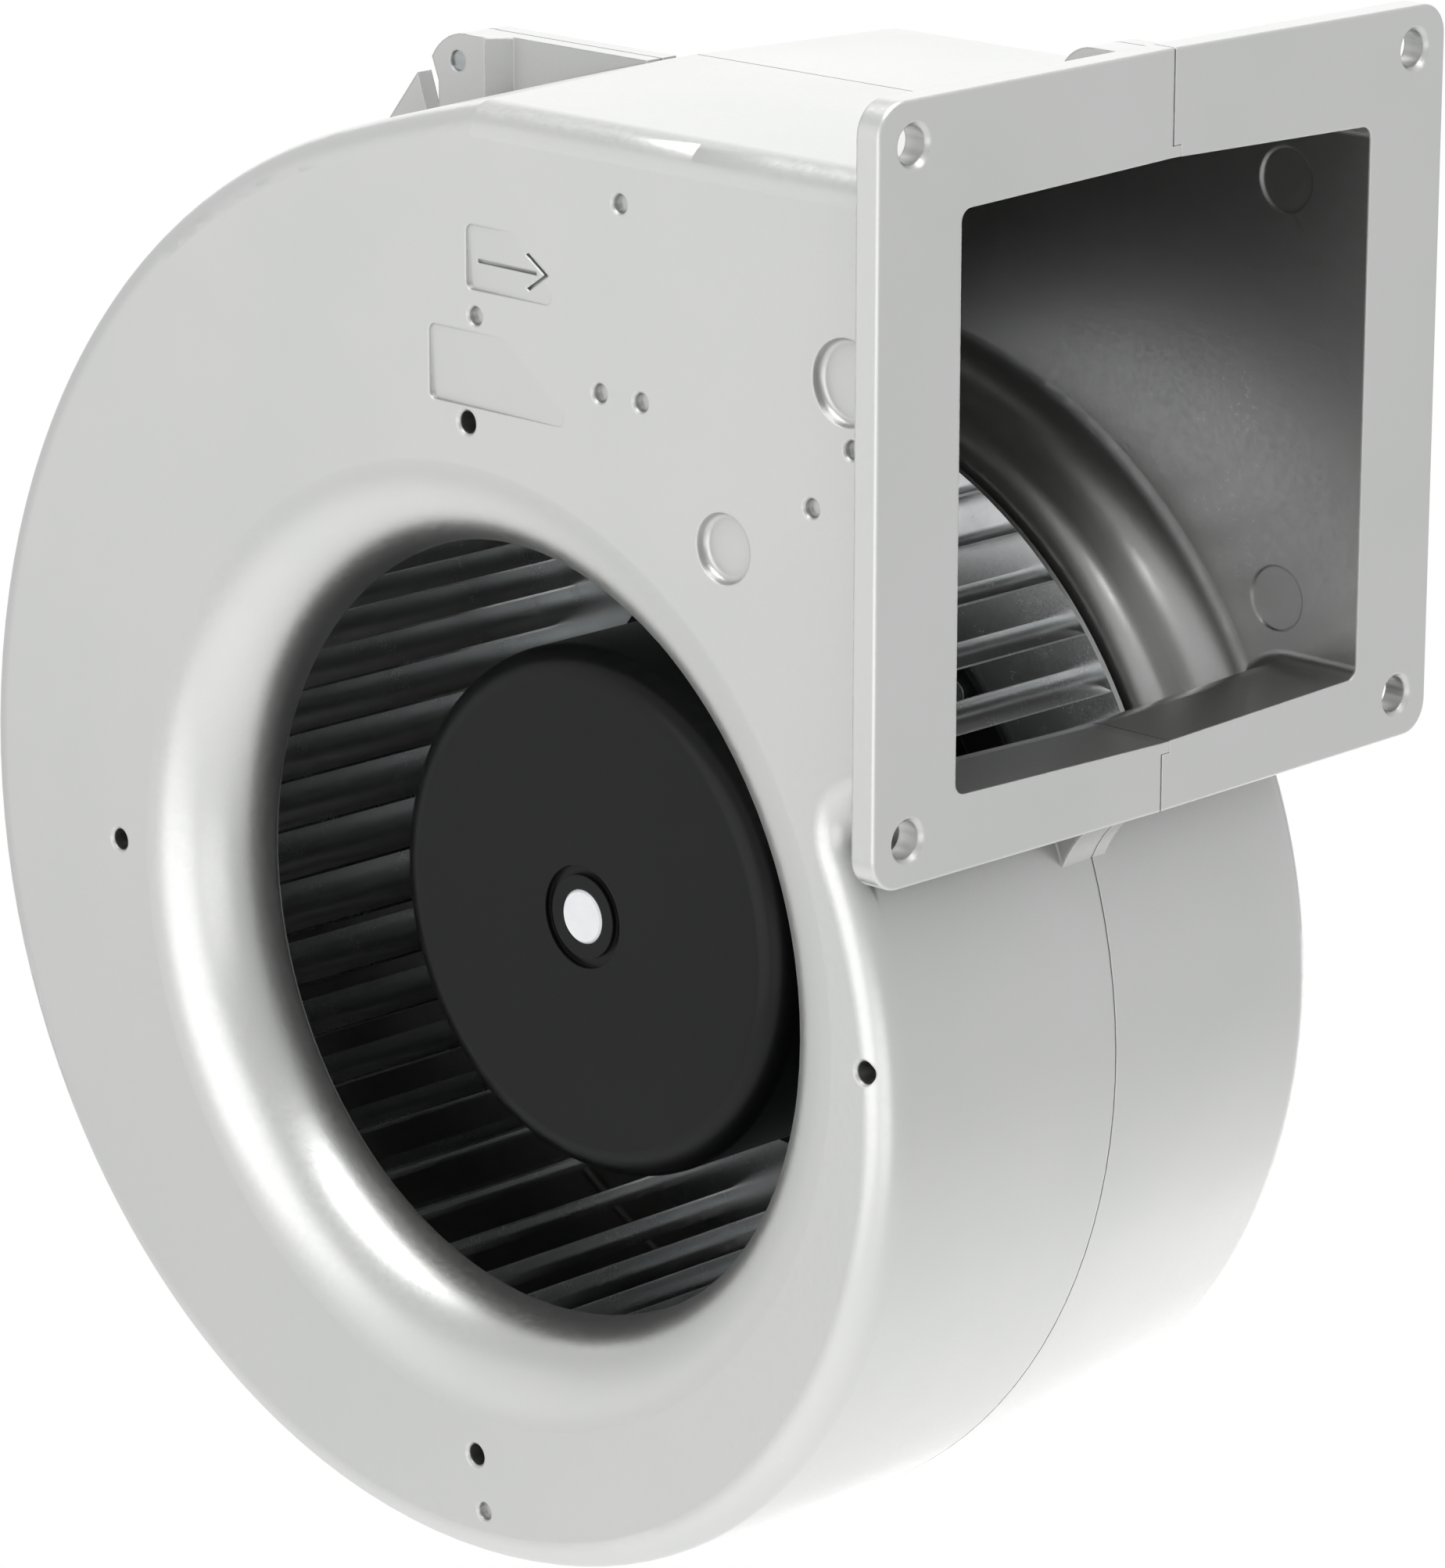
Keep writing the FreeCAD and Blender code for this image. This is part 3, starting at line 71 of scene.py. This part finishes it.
def wear_and_edge_highlight(tree, place, rounded):
    """One at sharp edges, where the rounded normal leaves the plain one, broken up by noise; used for edge
    wear, and on the housing partly as a painted highlight.
    """
    plain = add(tree, "NewGeometry").outputs["Normal"]
    same = add(tree, "VectorMath", {0: rounded, 1: plain}, operation="DOT_PRODUCT").outputs["Value"]
    edge = add(tree, "MapRange", {"Value": same, "From Min": 0.98, "From Max": 0.80}).outputs["Result"]
    patchy = spread(tree, noise(tree, place, 3 * MM), 0.2, 1.0)
    return add(tree, "Math", {0: edge, 1: patchy}, operation="MULTIPLY").outputs["Value"]


def painted_hollow_shade(tree, darkest):
    """Painted shade: one on open surfaces, falling to darkest deep inside hollows, from ambient occlusion."""
    clear = add(tree, "AmbientOcclusion", {"Distance": PAINTED_SHADE_REACH}, samples=4).outputs["AO"]
    return add(tree, "MapRange", {"Value": clear, "From Min": 0.4, "From Max": 0.9, "To Min": darkest,
                                  "To Max": 1.0}).outputs["Result"]


def finish(name, colour, second, metallic, roughness, grain, relief, patch=25 * MM, stretch=(1, 1, 1),
           edge="", edge_radius=0.5 * MM, coat=0.0, spots=0.0, hollow_shade=0.0, gloss=0.5):
    """A procedural finish: two colours in patches, a grain with relief, and lighter edges of wear and painted
    highlight.

    Patch and grain are sizes, relief is the grain's height and spots its share of the second colour.
    An edge colour is mixed in at sharp edges, as wear and, on the housing, partly as a painted highlight;
    hollow_shade is how dark the painted shade makes the colour deep inside.
    """
    material = bpy.data.materials.new(name)
    material.use_nodes = True
    tree = material.node_tree
    shader = tree.nodes["Principled BSDF"]
    place = add(tree, "TexCoord").outputs["Object"]
    place = add(tree, "Mapping", {"Vector": place, "Scale": stretch}).outputs["Vector"]
    patches = noise(tree, place, patch)
    fine = noise(tree, place, grain, 2.0, 0.6)
    base = mix(tree, spread(tree, patches, 0.0, 1.0), linear(colour), linear(second))
    base = mix(tree, spread(tree, fine, 0.0, spots), base, linear(second))
    rounded = add(tree, "Bevel", {"Radius": edge_radius}, samples=3).outputs["Normal"] if edge else None
    # Edge colour: wear, and on the housing partly a painted highlight along edges and the parting line
    if edge:
        base = mix(tree, wear_and_edge_highlight(tree, place, rounded), base, linear(edge))
    # Painted shade: the colour is darkened where ambient occlusion finds the surface enclosed
    if hollow_shade:
        base = mix(tree, 1.0, base, painted_hollow_shade(tree, hollow_shade), "MULTIPLY")
    rough = add(tree, "Math", {0: spread(tree, patches, -0.02, 0.02), 1: spread(tree, fine, -0.03, 0.03)},
                operation="ADD").outputs["Value"]
    rough = add(tree, "Math", {0: rough, 1: roughness}, operation="ADD").outputs["Value"]
    bump = add(tree, "Bump", {"Height": fine, "Distance": relief, "Strength": 1.0})
    if edge:
        tree.links.new(rounded, bump.inputs["Normal"])
    bump = bump.outputs["Normal"]
    tree.links.new(base, shader.inputs["Base Color"])
    tree.links.new(rough, shader.inputs["Roughness"])
    tree.links.new(bump, shader.inputs["Normal"])
    shader.inputs["Metallic"].default_value = metallic
    shader.inputs["Coat Weight"].default_value = coat
    shader.inputs["Specular IOR Level"].default_value = gloss
    return material


def assign(material, *names):
    for name in names:
        nodes[name].data.materials.clear()
        nodes[name].data.materials.append(material)


# Silver-grey powder coat on the cast housing, with a fine orange-peel grain. Its colour also carries painted
# shade, darkest deep in the duct and throat.
# The near-white edge colour is partly wear and partly a painted highlight along edges and the parting line.
assign(finish("satin_powder_coat", "#e9e9e7", "#e3e4e1", 0.95, 0.32, 1.2 * MM, 0.018 * MM,
              patch=60 * MM, edge="#fafaf8", edge_radius=0.6 * MM, spots=0.1, hollow_shade=0.6),
       "inlet_housing", "motor_housing")
# Galvanised sheet with a faint zinc spangle
assign(finish("galvanised_sheet", "#f3f4f4", "#e4e6e6", 1.0, 0.24, 0.35 * MM, 0.0008 * MM,
              patch=9 * MM, spots=0.15),
       "impeller_blades", "impeller_front_ring", "impeller_back_disc")
# Semi-gloss black paint on the deep-drawn rotor cup
assign(finish("semi_gloss_black", "#0b0b0c", "#0f0f10", 0.0, 0.32, 0.7 * MM, 0.008 * MM,
              patch=30 * MM, edge="#2a2a2b", spots=0.3, coat=0.05, gloss=0.25),
       "rotor_cup")
# Ground bearing and shaft steel
assign(finish("ground_steel", "#fbfbfd", "#f2f3f5", 0.2, 0.4, 0.5 * MM, 0.006 * MM, patch=4 * MM, spots=0.3),
       "shaft", "shaft_clip", "front_bearing_outer", "rear_bearing_outer", "front_bearing_inner",
       "rear_bearing_inner", "preload_washer")
# Bright zinc plating on screws, washers and rivets
assign(finish("zinc_plate", "#c3c6c6", "#b0b4b5", 1.0, 0.32, 0.6 * MM, 0.008 * MM, patch=3 * MM,
              edge="#dadcdc", edge_radius=0.3 * MM, spots=0.3),
       "housing_screws", "motor_screws", "motor_washers", "impeller_rivets")
# As-cast aluminium with a slightly pebbled skin
assign(finish("cast_aluminium", "#b9bcbd", "#a7abac", 1.0, 0.45, 1.2 * MM, 0.04 * MM, edge="#d0d2d3",
              spots=0.4),
       "motor_flange", "rotor_end_rings")
# Edge-on stack of electrical sheet, its layers drawn across the rotation axis
assign(finish("laminated_sheet", "#5c5d60", "#46474a", 1.0, 0.48, 0.7 * MM, 0.03 * MM, patch=10 * MM,
              stretch=(0.1, 2.0, 0.1), spots=0.7),
       "stator_core", "rotor_core")
# Enamelled copper wire
assign(finish("enamelled_copper", "#b0622c", "#8f4a20", 0.9, 0.35, 0.6 * MM, 0.1 * MM, patch=5 * MM,
              stretch=(1, 0.3, 1), spots=0.6),
       "stator_windings")
# Off-white insulating plastic
assign(finish("insulating_plastic", "#dcdacb", "#d0cdbc", 0.0, 0.55, 0.8 * MM, 0.01 * MM, spots=0.2),
       "stator_collars")
# Matt black rubber
assign(finish("matt_rubber", "#1b1b1b", "#242424", 0.0, 0.75, 0.7 * MM, 0.02 * MM, edge="#303030", spots=0.4),
       "cable_grommet")


# Floor, well below the fan and out of the camera's sight

FLOOR_SIZE = 6.0
FLOOR_HEIGHT = -0.9


def flat_piece(name, size, height):
    """A square sheet at one height."""
    mesh = bpy.data.meshes.new(name)
    half = size / 2
    mesh.from_pydata([(-half, -half, height), (half, -half, height), (half, half, height),
                      (-half, half, height)], [], [(0, 1, 2, 3)])
    piece = bpy.data.objects.new(name, mesh)
    scene.collection.objects.link(piece)
    return piece


floor = flat_piece("floor", FLOOR_SIZE, FLOOR_HEIGHT)
floor.data.materials.append(finish("pale_floor", "#f4f4f4", "#f0f0f0", 0.0, 0.8, 30 * MM, 0.1 * MM))
floor.visible_camera = False


# Camera at the photograph's angle

camera = bpy.data.objects.new("camera", bpy.data.cameras.new("camera"))
scene.collection.objects.link(camera)
camera.location = (0.84055, -0.78791, 0.36826)
camera.rotation_euler = (math.radians(75.0592), 0, math.radians(44.9407))
camera.data.lens = 150.02
camera.data.sensor_width = 36
camera.data.shift_x = 0.027896
camera.data.shift_y = -0.097644
camera.data.clip_end = 20
scene.camera = camera
scene.view_settings.view_transform = "Standard"


# Studio light: wide soft boxes, because the satin coat mirrors them softly

MIDDLE = (0.0, 0.06, 0.03)


def softbox(name, place, width, height, power):
    """A rectangular area light that faces the fan's middle; sizes in metres, power in watts."""
    light = bpy.data.lights.new(name, "AREA")
    light.shape = "RECTANGLE"
    light.size = width
    light.size_y = height
    light.energy = power
    box = bpy.data.objects.new(name, light)
    scene.collection.objects.link(box)
    away = [p - m for p, m in zip(place, MIDDLE)]
    turn = math.atan2(away[0], -away[1])
    tilt = math.atan2(math.hypot(away[0], away[1]), away[2])
    box.location = place
    box.rotation_euler = (tilt, 0, turn)


softbox("top_light", (0.1, 0.0, 1.3), 1.2, 1.2, 18)
softbox("rear_light", (-1.1, 1.3, 0.55), 1.6, 1.0, 2.5)
softbox("left_light", (-1.0, -1.2, 0.2), 1.4, 1.4, 1)
softbox("right_light", (1.1, -1.1, -0.3), 1.0, 0.8, 1.5)
softbox("low_light", (-0.3, 1.1, -0.75), 1.2, 1.0, 3)
softbox("front_light", (-0.05, -1.6, 0.05), 1.3, 1.5, 5.2)

world = bpy.data.worlds.new("studio")
scene.world = world
world.use_nodes = True
tree = world.node_tree
surroundings = tree.nodes["Background"]
surroundings.inputs["Color"].default_value = linear("#f2f3f4")
surroundings.inputs["Strength"].default_value = 0.7
backdrop = add(tree, "Background", {"Color": (1, 1, 1, 1), "Strength": 1.0})
rays = add(tree, "LightPath")
seen = add(tree, "Math", {0: rays.outputs["Is Camera Ray"], 1: rays.outputs["Is Transmission Ray"]},
           operation="MAXIMUM")
choice = add(tree, "MixShader", {0: seen.outputs["Value"], 1: surroundings.outputs["Background"],
                                 2: backdrop.outputs["Background"]})
tree.links.new(choice.outputs["Shader"], tree.nodes["World Output"].inputs["Surface"])
